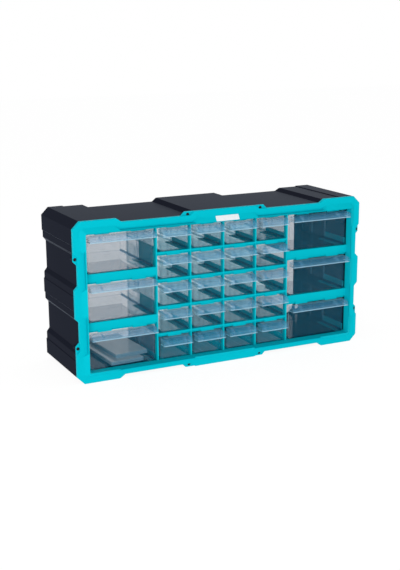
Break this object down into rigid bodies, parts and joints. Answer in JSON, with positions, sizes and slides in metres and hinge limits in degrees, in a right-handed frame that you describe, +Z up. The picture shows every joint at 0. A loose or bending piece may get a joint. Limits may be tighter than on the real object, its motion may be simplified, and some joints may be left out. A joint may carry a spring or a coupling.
{
  "type": "small parts drawer cabinet",
  "caption": "Bench or wall cabinet for small parts, with a moulded front frame, an open-backed shell, rows of clear sliding drawers and spare divider plates.",
  "frame": {"origin": "centre of the overall footprint, on the surface that the cabinet stands on", "axes": "+X to the right seen from the front, +Y to the back (drawers pull out towards -Y), +Z up"},
  "size_m": [0.514, 0.1574, 0.255],
  "materials": {
    "frame_plastic": "satin turquoise moulded plastic",
    "shell_plastic": "fine-grained charcoal moulded plastic",
    "screw_steel": "blackened steel",
    "label": "blank satin film",
    "divider_plastic": "clear plastic",
    "drawer_plastic": "clear plastic"
  },
  "bodies": {
    "cabinet": {"front_frame": "frame_plastic", "grid_uprights": "frame_plastic", "grid_rows": "frame_plastic", "drawer_runners": "frame_plastic", "rear_shell": "shell_plastic", "frame_screws": "screw_steel", "label_plate": "label"},
    "wide_drawer_1": {"wide_drawer_1": "drawer_plastic"},
    "wide_drawer_2": {"wide_drawer_2": "drawer_plastic"},
    "wide_drawer_3": {"wide_drawer_3": "drawer_plastic", "divider_plates": "divider_plastic"},
    "wide_drawer_4": {"wide_drawer_4": "drawer_plastic"},
    "wide_drawer_5": {"wide_drawer_5": "drawer_plastic"},
    "wide_drawer_6": {"wide_drawer_6": "drawer_plastic"},
    "narrow_drawer_1": {"narrow_drawer_1": "drawer_plastic"},
    "narrow_drawer_2": {"narrow_drawer_2": "drawer_plastic"},
    "narrow_drawer_3": {"narrow_drawer_3": "drawer_plastic"},
    "narrow_drawer_4": {"narrow_drawer_4": "drawer_plastic"},
    "narrow_drawer_5": {"narrow_drawer_5": "drawer_plastic"},
    "narrow_drawer_6": {"narrow_drawer_6": "drawer_plastic"},
    "narrow_drawer_7": {"narrow_drawer_7": "drawer_plastic"},
    "narrow_drawer_8": {"narrow_drawer_8": "drawer_plastic"},
    "narrow_drawer_9": {"narrow_drawer_9": "drawer_plastic"},
    "narrow_drawer_10": {"narrow_drawer_10": "drawer_plastic"},
    "narrow_drawer_11": {"narrow_drawer_11": "drawer_plastic"},
    "narrow_drawer_12": {"narrow_drawer_12": "drawer_plastic"},
    "narrow_drawer_13": {"narrow_drawer_13": "drawer_plastic"},
    "narrow_drawer_14": {"narrow_drawer_14": "drawer_plastic"},
    "narrow_drawer_15": {"narrow_drawer_15": "drawer_plastic"},
    "narrow_drawer_16": {"narrow_drawer_16": "drawer_plastic"},
    "narrow_drawer_17": {"narrow_drawer_17": "drawer_plastic"},
    "narrow_drawer_18": {"narrow_drawer_18": "drawer_plastic"},
    "narrow_drawer_19": {"narrow_drawer_19": "drawer_plastic"},
    "narrow_drawer_20": {"narrow_drawer_20": "drawer_plastic"}
  },
  "joints": [
    {"name": "wide_drawer_1_slide", "type": "slide", "parent": "cabinet", "child": "wide_drawer_1", "axis": [0, -1, 0], "range_m": [0, 0.1284]},
    {"name": "wide_drawer_2_slide", "type": "slide", "parent": "cabinet", "child": "wide_drawer_2", "axis": [0, -1, 0], "range_m": [0, 0.1284]},
    {"name": "wide_drawer_3_slide", "type": "slide", "parent": "cabinet", "child": "wide_drawer_3", "axis": [0, -1, 0], "range_m": [0, 0.1284]},
    {"name": "wide_drawer_4_slide", "type": "slide", "parent": "cabinet", "child": "wide_drawer_4", "axis": [0, -1, 0], "range_m": [0, 0.1284]},
    {"name": "wide_drawer_5_slide", "type": "slide", "parent": "cabinet", "child": "wide_drawer_5", "axis": [0, -1, 0], "range_m": [0, 0.1284]},
    {"name": "wide_drawer_6_slide", "type": "slide", "parent": "cabinet", "child": "wide_drawer_6", "axis": [0, -1, 0], "range_m": [0, 0.1284]},
    {"name": "narrow_drawer_1_slide", "type": "slide", "parent": "cabinet", "child": "narrow_drawer_1", "axis": [0, -1, 0], "range_m": [0, 0.1284]},
    {"name": "narrow_drawer_2_slide", "type": "slide", "parent": "cabinet", "child": "narrow_drawer_2", "axis": [0, -1, 0], "range_m": [0, 0.1284]},
    {"name": "narrow_drawer_3_slide", "type": "slide", "parent": "cabinet", "child": "narrow_drawer_3", "axis": [0, -1, 0], "range_m": [0, 0.1284]},
    {"name": "narrow_drawer_4_slide", "type": "slide", "parent": "cabinet", "child": "narrow_drawer_4", "axis": [0, -1, 0], "range_m": [0, 0.1284]},
    {"name": "narrow_drawer_5_slide", "type": "slide", "parent": "cabinet", "child": "narrow_drawer_5", "axis": [0, -1, 0], "range_m": [0, 0.1284]},
    {"name": "narrow_drawer_6_slide", "type": "slide", "parent": "cabinet", "child": "narrow_drawer_6", "axis": [0, -1, 0], "range_m": [0, 0.1284]},
    {"name": "narrow_drawer_7_slide", "type": "slide", "parent": "cabinet", "child": "narrow_drawer_7", "axis": [0, -1, 0], "range_m": [0, 0.1284]},
    {"name": "narrow_drawer_8_slide", "type": "slide", "parent": "cabinet", "child": "narrow_drawer_8", "axis": [0, -1, 0], "range_m": [0, 0.1284]},
    {"name": "narrow_drawer_9_slide", "type": "slide", "parent": "cabinet", "child": "narrow_drawer_9", "axis": [0, -1, 0], "range_m": [0, 0.1284]},
    {"name": "narrow_drawer_10_slide", "type": "slide", "parent": "cabinet", "child": "narrow_drawer_10", "axis": [0, -1, 0], "range_m": [0, 0.1284]},
    {"name": "narrow_drawer_11_slide", "type": "slide", "parent": "cabinet", "child": "narrow_drawer_11", "axis": [0, -1, 0], "range_m": [0, 0.1284]},
    {"name": "narrow_drawer_12_slide", "type": "slide", "parent": "cabinet", "child": "narrow_drawer_12", "axis": [0, -1, 0], "range_m": [0, 0.1284]},
    {"name": "narrow_drawer_13_slide", "type": "slide", "parent": "cabinet", "child": "narrow_drawer_13", "axis": [0, -1, 0], "range_m": [0, 0.1284]},
    {"name": "narrow_drawer_14_slide", "type": "slide", "parent": "cabinet", "child": "narrow_drawer_14", "axis": [0, -1, 0], "range_m": [0, 0.1284]},
    {"name": "narrow_drawer_15_slide", "type": "slide", "parent": "cabinet", "child": "narrow_drawer_15", "axis": [0, -1, 0], "range_m": [0, 0.1284]},
    {"name": "narrow_drawer_16_slide", "type": "slide", "parent": "cabinet", "child": "narrow_drawer_16", "axis": [0, -1, 0], "range_m": [0, 0.1284]},
    {"name": "narrow_drawer_17_slide", "type": "slide", "parent": "cabinet", "child": "narrow_drawer_17", "axis": [0, -1, 0], "range_m": [0, 0.1284]},
    {"name": "narrow_drawer_18_slide", "type": "slide", "parent": "cabinet", "child": "narrow_drawer_18", "axis": [0, -1, 0], "range_m": [0, 0.1284]},
    {"name": "narrow_drawer_19_slide", "type": "slide", "parent": "cabinet", "child": "narrow_drawer_19", "axis": [0, -1, 0], "range_m": [0, 0.1284]},
    {"name": "narrow_drawer_20_slide", "type": "slide", "parent": "cabinet", "child": "narrow_drawer_20", "axis": [0, -1, 0], "range_m": [0, 0.1284]}
  ]
}
